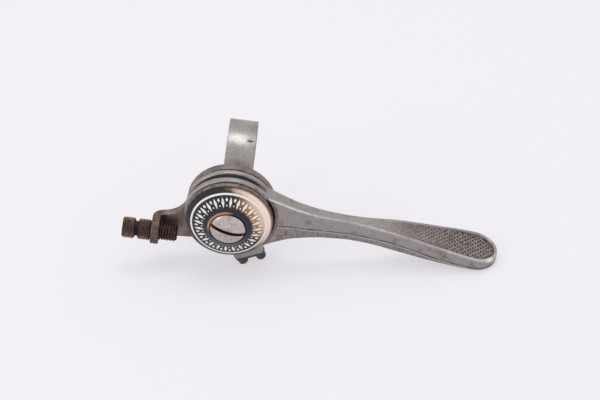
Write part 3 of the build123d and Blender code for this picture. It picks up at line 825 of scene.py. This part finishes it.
def pad_ridges(tree, start, size):
    """Two short crossed ridges on every seat, tilted with the pad, that join into a lattice."""
    ridge = node(tree, "ShaderNodeCombineXYZ", {"X": size["long"], "Y": size["thick"], "Z": size["thick"]})
    lattice = node(tree, "GeometryNodeJoinGeometry")
    for way in (-1.0, 1.0):
        slant = node(tree, "ShaderNodeMath", {0: size["slant"], 1: way}, operation="MULTIPLY")
        turn = node(tree, "ShaderNodeCombineXYZ", {"Z": slant.outputs[0]})
        bar = node(tree, "GeometryNodeMeshCube", {"Size": ridge.outputs[0]})
        placed = node(tree, "GeometryNodeTransform", {
            "Geometry": bar.outputs["Mesh"], "Rotation": turn.outputs[0]})
        tree.links.new(placed.outputs["Geometry"], lattice.inputs["Geometry"])
    tilt = node(tree, "ShaderNodeCombineXYZ", {"Y": size["tilt"]})
    share = node(tree, "GeometryNodeInputNamedAttribute", {"Name": "size"}, data_type="FLOAT")
    return node(tree, "GeometryNodeInstanceOnPoints", {
        "Points": start, "Instance": lattice.outputs["Geometry"], "Rotation": tilt.outputs[0],
        "Scale": share.outputs["Attribute"]}).outputs["Instances"]


ridge_alloy = metal("handled cast ridges", "#aba39e", "#6b5d51", 1.2, 0.42, metallic=0.8, grain_mm=0.3,
                    soil=0.75)
knurl = pattern("pad_knurl", seats, ridge_alloy, pad_ridges, long=1.15 * MM, thick=0.34 * MM,
                slant=math.radians(47.7), tilt=math.radians(8.5))
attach(knurl, "lever")

# ======================================================================================
# Cable clamp: a small bar under two blackened round-head screws, in the drum's lug.
# ======================================================================================
BAR_THICK, HEAD_RADIUS, HEAD_HEIGHT = 0.9, 1.45, 2.0
SCREW_SPACING = 5.4
black_steel = metal("oil blackened steel", "#5b544f", "#26211d", 0.9, 0.36, metallic=0.9, grain_mm=0.2)
dress(black_steel, "cable_clamp_bar")


def quarter(radius, height, rounding, steps=5):
    """An outer corner of a turned profile, rounded, going up."""
    return [(radius - rounding + rounding * math.cos(a), height - rounding + rounding * math.sin(a))
            for a in (math.pi / 2 * i / steps for i in range(steps + 1))]


clamp_heads = bmesh.new()
for across in (-SCREW_SPACING / 2, SCREW_SPACING / 2):
    head_base = LUG_FLAT + BAR_THICK
    head = lathe([(0, head_base - 3.2), (0.9, head_base - 3.2), (0.9, head_base), (HEAD_RADIUS, head_base)]
                 + quarter(HEAD_RADIUS - 0.02, head_base + HEAD_HEIGHT - 0.02,
                           0.85) + [(0, head_base + HEAD_HEIGHT - 0.02)], 32)
    place = Matrix((anchor_side, Vector((0, 1, 0)), anchor_out)).transposed().to_4x4()
    if place.determinant() < 0:
        place = Matrix((-anchor_side, Vector((0, 1, 0)), anchor_out)).transposed().to_4x4()
    place = Matrix.Translation(mm(0, -lug_reach, 0) + anchor_side * across * MM) @ place
    bmesh.ops.transform(head, matrix=place, verts=head.verts)
    join_into(clamp_heads, head)
finish("clamp_screws", clamp_heads, black_steel, "lever", "clamp_steel", "cable_clamp_screws")

# ======================================================================================
# Friction plate: a blanked steel disc, keyed to the post, that rubs on the lever. It is
# brown all over.
# ======================================================================================
plate_back, plate_front = 24.22, 25.67
PLATE_RADIUS = 12.3

plate_steel = metal("thinly rusted steel", "#80736b", "#54443a", 1.6, 0.45, metallic=0.8, grain_mm=0.2,
                    soil=0.55)
plate_profile = [(4.6, plate_back), (PLATE_RADIUS - 0.3, plate_back),
                 (PLATE_RADIUS - 0.03, plate_back + 0.3)]
plate_profile += quarter(PLATE_RADIUS - 0.03, plate_front, 0.35) + [(4.6, plate_front)]
finish("plate", on_pivot(lathe(plate_profile, 128)), plate_steel, "clamp", "plate_steel", "friction_plate")

# ======================================================================================
# Stop pin: turned steel, riveted in the base plate, so that it shows a low dome at the back.
# It stands in the slot of the drum and stops the lever at both ends of its swing.
# ======================================================================================
pin_low, pin_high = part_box("stop_pin")
pin_back, pin_front = -pin_high.y / MM, -pin_low.y / MM
pin_edit = on_pivot(lathe([
    (0, pin_back - 0.16), (0.5, pin_back - 0.13), (0.9, pin_back - 0.02), (0.97, pin_back + 0.1),
    (0.97, pin_front - 0.15), (0.82, pin_front - 0.01), (0, pin_front - 0.01)], 32))
pin_seat = Vector(((pin_low.x + pin_high.x) / 2, 0, (pin_low.z + pin_high.z) / 2))
bmesh.ops.translate(pin_edit, vec=pin_seat, verts=pin_edit.verts)
finish("riveted_pin", pin_edit, inner_steel, "clamp", "post_steel", "stop_pin")

# ======================================================================================
# Cap: a domed steel pressing with a deep cup for the screw, in gloss black enamel that is rubbed
# through to warm metal toward the lever, with a printed white ring, rays, studs and dots. The bare
# metal carries a painted highlight toward the lever and on the shoulder, and painted shade at its
# outer edge; the hole's upper left rim carries a painted copper reflection.
# ======================================================================================
CAP_RADIUS, CAP_MOUTH, MOUTH_REACH = 11.95, 5.15, 29.47
CUP_BACK, CUP_FLOOR = 27.12, 27.92
CAP_CURVE = [(CAP_RADIUS, plate_front + 0.28), (11.75, 26.05), (11.2, 26.5), (10.3, 26.98), (9.2, 27.47),
             (8.0, 27.95), (6.8, 28.5), (5.9, 29.02), (5.45, 29.32)]


def cap_reach(radius):
    """The reach of the dome's outside at a radius."""
    return read_off(sorted(CAP_CURVE), radius)


gloss_enamel = bpy.data.materials.new("gloss black enamel, rubbed through")
gloss_enamel.use_nodes = True
tree = gloss_enamel.node_tree
shader = tree.nodes["Principled BSDF"]
place = node(tree, "ShaderNodeTexCoord").outputs["Object"]
flat = node(tree, "ShaderNodeVectorMath", {
    0: place, 1: (1000.0, 0.0, 1000.0)}, operation="MULTIPLY").outputs[0]
radius = node(tree, "ShaderNodeVectorMath", {0: flat}, operation="LENGTH").outputs["Value"]
outward = node(tree, "ShaderNodeVectorMath", {0: flat}, operation="NORMALIZE").outputs[0]
toward_lever = node(tree, "ShaderNodeVectorMath", {
    0: outward, 1: (math.cos(math.radians(26)), 0.0, math.sin(math.radians(26)))}, operation="DOT_PRODUCT")
blotches = node(tree, "ShaderNodeTexNoise", {
    "Vector": place, "Scale": 1000 / 2.2, "Detail": 6.0, "Roughness": 0.7})
ragged = node(tree, "ShaderNodeMath", {
    0: blotches.outputs["Fac"], 1: 0.4, 2: toward_lever.outputs["Value"]}, operation="MULTIPLY_ADD")
on_shoulder = node(tree, "ShaderNodeMapRange", {
    "Value": radius, "From Min": 10.0, "From Max": 11.4, "To Max": 0.28})
reach = node(tree, "ShaderNodeMath", {0: ragged.outputs[0], 1: on_shoulder.outputs[0]}, operation="ADD")
rubbed = node(tree, "ShaderNodeMapRange", {
    "Value": reach.outputs[0], "From Min": 0.70, "From Max": 1.14}, interpolation_type="SMOOTHSTEP")
past_hole = node(tree, "ShaderNodeMapRange", {
    "Value": radius, "From Min": 6.5, "From Max": 7.2}, interpolation_type="SMOOTHSTEP")
bare = node(tree, "ShaderNodeMath", {
    0: rubbed.outputs[0], 1: past_hole.outputs[0]}, operation="MULTIPLY").outputs[0]
# The bare metal lightens toward the lever and out to the shoulder, up to near white: a painted highlight on
# the bare metal.
sheen_reach = node(tree, "ShaderNodeMath", {
    0: toward_lever.outputs["Value"], 1: 3.2, 2: radius}, operation="MULTIPLY_ADD")
bare_metal_sheen = node(tree, "ShaderNodeMapRange", {
    "Value": sheen_reach.outputs[0], "From Min": 11.0, "From Max": 14.2})
copper_and_sheen = node(tree, "ShaderNodeMix", {
    "Factor": bare_metal_sheen.outputs[0], 6: linear("#a87a55"), 7: linear("#fbe6d6")}, data_type="RGBA")
# The outermost edge of the bare metal darkens: painted shade.
outer_edge_shade = node(tree, "ShaderNodeMapRange", {
    "Value": radius, "From Min": 11.45, "From Max": 11.85, "To Max": 0.7})
shaded = node(tree, "ShaderNodeMix", {
    "Factor": outer_edge_shade.outputs[0], 6: copper_and_sheen.outputs[2], 7: linear("#6d4f3a")}, data_type="RGBA")
coat = node(tree, "ShaderNodeMix", {
    "Factor": bare, 6: linear("#0b1016"), 7: shaded.outputs[2]}, data_type="RGBA")
# The hole's upper left rim is painted copper: a painted reflection of warm light.
hole_edge = node(tree, "ShaderNodeMapRange", {"Value": radius, "From Min": 5.85, "From Max": 5.5})
up_left = node(tree, "ShaderNodeVectorMath", {
    0: outward, 1: (math.cos(math.radians(140)), 0.0, math.sin(math.radians(140)))},
    operation="DOT_PRODUCT")
up_left_part = node(tree, "ShaderNodeMapRange", {
    "Value": up_left.outputs["Value"], "From Min": 0.45, "From Max": 0.8})
hole_rim_reflection = node(tree, "ShaderNodeMath", {
    0: hole_edge.outputs[0], 1: up_left_part.outputs[0]}, operation="MULTIPLY")
coat = node(tree, "ShaderNodeMix", {
    "Factor": hole_rim_reflection.outputs[0], 6: coat.outputs[2], 7: linear("#b3805a")}, data_type="RGBA")
ripple = node(tree, "ShaderNodeTexNoise", {"Vector": place, "Scale": 1000 / 3.0, "Detail": 3.0})
gloss = node(tree, "ShaderNodeMapRange", {"Value": ripple.outputs["Fac"], "To Min": 0.08, "To Max": 0.18})
dull = node(tree, "ShaderNodeMath", {0: bare, 1: 0.14, 2: gloss.outputs[0]}, operation="MULTIPLY_ADD")
bump = node(tree, "ShaderNodeBump", {
    "Height": ripple.outputs["Fac"], "Strength": 0.5, "Distance": 0.04 * MM})
tree.links.new(coat.outputs[2], shader.inputs["Base Color"])
tree.links.new(bare, shader.inputs["Metallic"])
tree.links.new(dull.outputs[0], shader.inputs["Roughness"])
tree.links.new(bump.outputs["Normal"], shader.inputs["Normal"])
shader.inputs["Specular IOR Level"].default_value = 0.5

cap_profile = [(11.1, plate_front + 0.02), (CAP_RADIUS - 0.12, plate_front + 0.02)] + CAP_CURVE
cap_profile += [(5.25, MOUTH_REACH - 0.02), (CAP_MOUTH, MOUTH_REACH - 0.12), (CAP_MOUTH, CUP_FLOOR),
                (2.8, CUP_FLOOR),
                (2.8, CUP_BACK), (5.95, CUP_BACK), (5.95, 28.1), (8.0, 27.15), (10.3, 26.15)]
finish("cap_dome", on_pivot(lathe(cap_profile, 160)), gloss_enamel, "clamp", "cap_enamel", "cap", smooth=50)

white_print = bpy.data.materials.new("white printed enamel")
white_print.use_nodes = True
tree = white_print.node_tree
shader = tree.nodes["Principled BSDF"]
place = node(tree, "ShaderNodeTexCoord").outputs["Object"]
wear = node(tree, "ShaderNodeTexNoise", {
    "Vector": place, "Scale": 1000 / 0.9, "Detail": 4.0, "Roughness": 0.65})
rubbed = node(tree, "ShaderNodeMapRange", {
    "Value": wear.outputs["Fac"], "From Min": 0.55, "From Max": 0.75})
ink = node(tree, "ShaderNodeMix", {
    "Factor": rubbed.outputs[0], 6: linear("#e9e4de"), 7: linear("#a39789")}, data_type="RGBA")
tree.links.new(ink.outputs[2], shader.inputs["Base Color"])
shader.inputs["Roughness"].default_value = 0.25

PRINT_THICK, PRINT_COUNT = 0.03, 24


def print_band(inner, outer, steps=160):
    """A closed printed ring that lies on the dome."""
    rise = [(inner, cap_reach(inner) - 0.05), (outer, cap_reach(outer) - 0.05),
            (outer, cap_reach(outer) + PRINT_THICK),
            ((inner + outer) / 2, cap_reach((inner + outer) / 2) + PRINT_THICK),
            (inner, cap_reach(inner) + PRINT_THICK)]
    return on_pivot(lathe(rise, steps))


finish("cap_ring", print_band(10.12, 10.62), white_print, "clamp", "cap_enamel")


def print_patch(outline):
    """A closed printed patch on the dome from (radius, angle) corners in order."""
    edit = bmesh.new()
    top, low = [], []
    for radius, angle in outline:
        a = math.radians(angle)
        top.append(edit.verts.new(mm(radius * math.cos(a), -cap_reach(radius) - PRINT_THICK,
                                     radius * math.sin(a))))
        low.append(edit.verts.new(mm(radius * math.cos(a), -cap_reach(radius) + 0.05,
                                     radius * math.sin(a))))
    edit.faces.new(top)
    edit.faces.new(list(reversed(low)))
    for i in range(len(outline)):
        j = (i + 1) % len(outline)
        edit.faces.new((top[i], low[i], low[j], top[j]))
    bmesh.ops.recalc_face_normals(edit, faces=edit.faces)
    bmesh.ops.triangulate(edit, faces=[f for f in edit.faces if len(f.verts) > 4])
    mesh = bpy.data.meshes.new("print patch")
    edit.to_mesh(mesh)
    edit.free()
    return mesh


def round_pivot(tree, source, size):
    """Repeats a mesh round the pivot, from one angle on and by equal turns."""
    seats = node(tree, "GeometryNodePoints", {"Count": size["count"]})
    index = node(tree, "GeometryNodeInputIndex").outputs[0]
    turn = node(tree, "ShaderNodeMath", {
        0: index, 1: size["turn"], 2: size["first"]}, operation="MULTIPLY_ADD")
    turned_by = node(tree, "ShaderNodeCombineXYZ", {"Y": turn.outputs[0]})
    return node(tree, "GeometryNodeInstanceOnPoints", {
        "Points": seats.outputs[0], "Instance": source,
        "Rotation": turned_by.outputs[0]}).outputs["Instances"]


def lozenge(low, high, half_angle):
    """A long diamond between two radii, with slightly swollen sides."""
    middle, swell = (low + high) / 2, half_angle * 0.55
    return [(low, 0), ((low + middle) / 2, swell), (middle, half_angle), ((high + middle) / 2, swell),
            (high, 0), ((high + middle) / 2, -swell), (middle, -half_angle), ((low + middle) / 2, -swell)]


dot = [(7.35 + 0.2 * math.cos(a), math.degrees(0.2 / 7.35 * math.sin(a)))
       for a in (math.pi / 4 * k for k in range(8))]
for name, outline, first in (
        ("print_rays", lozenge(6.7, 9.6, 2.9), 0.0),
        ("print_studs", lozenge(8.35, 9.45, 2.4), 7.5),
        ("print_dots", dot, 7.5)):
    piece = pattern(name, print_patch(outline), white_print, round_pivot, count=PRINT_COUNT,
                    first=-math.radians(first), turn=-math.radians(360 / PRINT_COUNT))
    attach(piece, "clamp")

# ======================================================================================
# Pivot screw: a wide domed head with a sawn slot, nickel plated and worn satin, with rust
# down in the slot.
# ======================================================================================
HEAD_SEAT, HEAD_EDGE, HEAD_TOP, HEAD_R = CUP_FLOOR + 0.02, CUP_FLOOR + 1.62, CUP_FLOOR + 3.32, 4.85
SLOT_WIDE, SLOT_DEEP, SLOT_ANGLE = 1.1, 1.7, math.radians(-12)
worn_nickel = metal("worn nickel plate", "#c4bbb8", "#958a85", 1.6, 0.27, grain_mm=0.25, grain=0.02,
                    soil=0.45)
slot_rust = metal("rust in the slot", "#4a3020", "#2a1a10", 0.6, 0.7, metallic=0.3, grain_mm=0.15)
sphere = (HEAD_R ** 2 + (HEAD_TOP - HEAD_EDGE) ** 2) / (2 * (HEAD_TOP - HEAD_EDGE))
dome = [(HEAD_R * math.cos(math.pi / 2 * k / 16), HEAD_TOP - sphere + math.sqrt(
    sphere ** 2 - (HEAD_R * math.cos(math.pi / 2 * k / 16)) ** 2)) for k in range(17)]
screw_profile = [(0, CUP_FLOOR - 8.5), (2.45, CUP_FLOOR - 8.5), (2.5, HEAD_SEAT),
                 (HEAD_R - 0.15, HEAD_SEAT),
                 (HEAD_R, HEAD_SEAT + 0.15)] + dome[:-1] + [(0, HEAD_TOP)]
screw = finish("friction_screw", on_pivot(lathe(screw_profile, 128)), worn_nickel, "pivot_screw",
               "pivot_screw_nickel", "pivot_screw")
saw = bmesh.new()
slot_along = Vector((math.cos(SLOT_ANGLE), 0, math.sin(SLOT_ANGLE)))
slot_across = Vector((-math.sin(SLOT_ANGLE), 0, math.cos(SLOT_ANGLE)))
block(saw, Vector((0, -(HEAD_TOP - SLOT_DEEP + 2) * MM, 0)),
      (slot_along * MM, slot_across * MM, Vector((0, MM, 0))),
      (7, SLOT_WIDE / 2, 2))
carve(screw, saw, slot_rust).set_sharp_from_angle(angle=math.radians(40))

# ======================================================================================
# Cable adjuster: a hollow thumbscrew with a knurled head, and its knurled locknut. Steel
# gone brown, with orange rust on the knurl and on the thread's crests.
# ======================================================================================
adjuster_steel = metal("browned steel", "#30261f", "#17110d", 1.2, 0.5, metallic=0.7, grain_mm=0.15,
                       soil=0.7)
knurl_rust = metal("rusted knurl tips", "#d0aa88", "#7d6350", 0.9, 0.42, metallic=0.7, grain_mm=0.12,
                   soil=0.6)
tree = knurl_rust.node_tree
shader = tree.nodes["Principled BSDF"]
place = node(tree, "ShaderNodeTexCoord").outputs["Object"]
from_axis = node(tree, "ShaderNodeVectorMath", {
    0: place, 1: mm(0, ADJUSTER_REACH, ADJUSTER_DROP)}, operation="ADD")
across = node(tree, "ShaderNodeVectorMath", {
    0: from_axis.outputs[0], 1: (0.0, 1000.0, 1000.0)}, operation="MULTIPLY")
height = node(tree, "ShaderNodeVectorMath", {0: across.outputs[0]}, operation="LENGTH")
rubbed = node(tree, "ShaderNodeMapRange", {
    "Value": height.outputs["Value"], "From Min": 2.68, "From Max": 2.93})
tooth_tone = node(tree, "ShaderNodeMix", {
    "Factor": rubbed.outputs[0], 6: linear("#2a1f18"), 7: shader.inputs["Base Color"].links[0].from_socket},
    data_type="RGBA")
tree.links.new(tooth_tone.outputs[2], shader.inputs["Base Color"])
THREAD_END, HEAD_FAR = -14.15, -29.6
TURN_TO_X = Matrix.Translation(mm(0, -ADJUSTER_REACH, -ADJUSTER_DROP)) @ Matrix.Rotation(math.pi / 2, 4,
                                                                                         "Y")


def on_adjuster(edit):
    """Lays a turned solid on the adjuster's axis, its height becoming X."""
    bmesh.ops.transform(edit, matrix=TURN_TO_X, verts=edit.verts)
    return edit


barrel_profile = [(1.1, HEAD_FAR + 2.6), (2.35, HEAD_FAR + 2.6), (2.35, HEAD_FAR + 0.05), (2.65, HEAD_FAR),
                  (2.8, HEAD_FAR + 0.3),
                  (2.8, HEAD_FAR + 3.25), (2.6, HEAD_FAR + 3.5), (2.15, HEAD_FAR + 3.55),
                  (2.1, HEAD_FAR + 4.4),
                  (2.12, THREAD_END - 0.3), (1.85, THREAD_END), (1.1, THREAD_END)]
finish("barrel", on_adjuster(lathe(barrel_profile, 96)), adjuster_steel, "adjuster_barrel",
       "adjuster_steel", "adjuster_barrel")
nut_far, nut_near = -25.2, -21.62
nut_profile = [(2.5, nut_far + 0.02), (2.55, nut_far), (2.75, nut_far + 0.3), (2.75, nut_near - 0.3),
               (2.5, nut_near), (2.47, nut_near)]
finish("locknut", on_adjuster(lathe(nut_profile, 96)), adjuster_steel, "adjuster_locknut", "adjuster_steel",
       "adjuster_locknut")


def knurled(tree, source, size):
    """Stands teeth in staggered rows on a drum along X."""
    seats = node(tree, "GeometryNodePoints", {"Count": size["teeth"]})
    index = node(tree, "GeometryNodeInputIndex").outputs[0]
    share = node(tree, "ShaderNodeMath", {0: index, 1: size["around"]}, operation="DIVIDE")
    row = node(tree, "ShaderNodeMath", {0: share.outputs[0]}, operation="FLOOR").outputs[0]
    turn = node(tree, "ShaderNodeMath", {0: index, 1: size["turn"]}, operation="MULTIPLY")
    stagger = node(tree, "ShaderNodeMath", {
        0: row, 1: size["stagger"], 2: turn.outputs[0]}, operation="MULTIPLY_ADD")
    shift = node(tree, "ShaderNodeMath", {
        0: row, 1: size["row pitch"], 2: size["first row"]}, operation="MULTIPLY_ADD")
    spot = node(tree, "ShaderNodeCombineXYZ", {
        "X": shift.outputs[0], "Y": size["axis y"], "Z": size["axis z"]})
    placed = node(tree, "GeometryNodeSetPosition", {
        "Geometry": seats.outputs[0], "Position": spot.outputs[0]})
    turned_by = node(tree, "ShaderNodeCombineXYZ", {"X": stagger.outputs[0]})
    return node(tree, "GeometryNodeInstanceOnPoints", {
        "Points": placed.outputs[0], "Instance": source,
        "Rotation": turned_by.outputs[0]}).outputs["Instances"]


def tooth(radius, half_x, half_round, height):
    """One diamond tooth standing on a drum of a radius, at its top."""
    mesh = bpy.data.meshes.new("knurl tooth")
    low, high = radius - 0.12, radius + height
    corners = [mm(-half_x, 0, low), mm(0, -half_round, low), mm(half_x, 0, low), mm(0, half_round, low),
               mm(0, 0, high)]
    mesh.from_pydata(corners, [], [(0, 1, 4), (1, 2, 4), (2, 3, 4), (3, 0, 4), (3, 2, 1, 0)])
    return mesh


TEETH_AROUND, TEETH_ROWS, TOOTH_HEIGHT, TOOTH_SHARE = 28, 7, 0.29, 0.8
for name, body, radius, start, length in (
        ("barrel_knurl", "adjuster_barrel", 2.78, HEAD_FAR + 0.25, 3.05),
        ("locknut_knurl", "adjuster_locknut", 2.73, nut_far + 0.25, 3.1)):
    row_pitch = length / TEETH_ROWS
    one_tooth = tooth(radius, row_pitch * TOOTH_SHARE, math.pi * radius / TEETH_AROUND * TOOTH_SHARE,
                      TOOTH_HEIGHT)
    piece = pattern(name, one_tooth, knurl_rust, knurled, **{
        "teeth": TEETH_AROUND * TEETH_ROWS, "around": TEETH_AROUND, "turn": 2 * math.pi / TEETH_AROUND,
        "stagger": math.pi / TEETH_AROUND, "row pitch": row_pitch * MM,
        "first row": (start + row_pitch / 2) * MM, "axis y": -ADJUSTER_REACH * MM,
        "axis z": -ADJUSTER_DROP * MM})
    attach(piece, body)

THREAD_TURNS, THREAD_PITCH, THREAD_CORE, CREST_RADIUS = 6.1, 0.8, 2.12, 0.3
TURN_STEPS = 48
thread_steel = metal("rusty thread", "#57422f", "#17110d", 0.9, 0.42, metallic=0.8, grain_mm=0.12, soil=0.6)
rail_points = []
for k in range(int(THREAD_TURNS * TURN_STEPS) + 1):
    angle = 2 * math.pi * k / TURN_STEPS
    rail_points.append(mm(THREAD_END - 0.35 - THREAD_PITCH * k / TURN_STEPS,
                          -ADJUSTER_REACH + THREAD_CORE * math.cos(angle),
                          -ADJUSTER_DROP + THREAD_CORE * math.sin(angle)))
rail = bpy.data.meshes.new("thread rail")
rail.from_pydata(rail_points, [(k, k + 1) for k in range(len(rail_points) - 1)], [])


def thread_ridge(tree, start, size):
    """A round-crested ridge swept along the helix."""
    path = node(tree, "GeometryNodeMeshToCurve", {"Mesh": start})
    section = node(tree, "GeometryNodeCurvePrimitiveCircle", {"Resolution": 8, "Radius": size["crest"]})
    swept = node(tree, "GeometryNodeCurveToMesh", {
        "Curve": path.outputs[0], "Profile Curve": section.outputs[0], "Fill Caps": True})
    return swept.outputs[0]


thread = pattern("barrel_thread", rail, thread_steel, thread_ridge, crest=CREST_RADIUS * MM)
thread.data.shade_smooth()
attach(thread, "adjuster_barrel")
